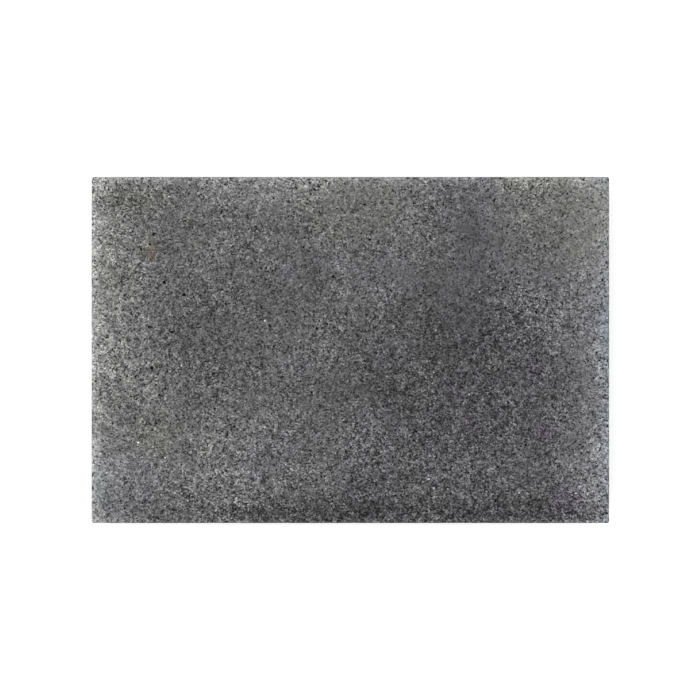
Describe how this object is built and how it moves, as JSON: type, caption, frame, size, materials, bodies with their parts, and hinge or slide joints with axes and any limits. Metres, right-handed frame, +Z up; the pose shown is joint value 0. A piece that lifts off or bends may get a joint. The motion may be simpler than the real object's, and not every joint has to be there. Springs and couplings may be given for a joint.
{
  "type": "basalt massage stone",
  "caption": "Flat rectangular slab of honed dark grey basalt with square-cut sides and eased edges, laid warm or cold on the body for massage.",
  "frame": {"origin": "middle of the underside, on the surface that the stone rests on", "axes": "+X along the long side, +Y along the short side, +Z up through the thickness, out of the honed face"},
  "size_m": [0.1494, 0.1, 0.02],
  "materials": {
    "basalt": "matte"
  },
  "bodies": {
    "root": {"stone_slab": "basalt"}
  },
  "joints": []
}
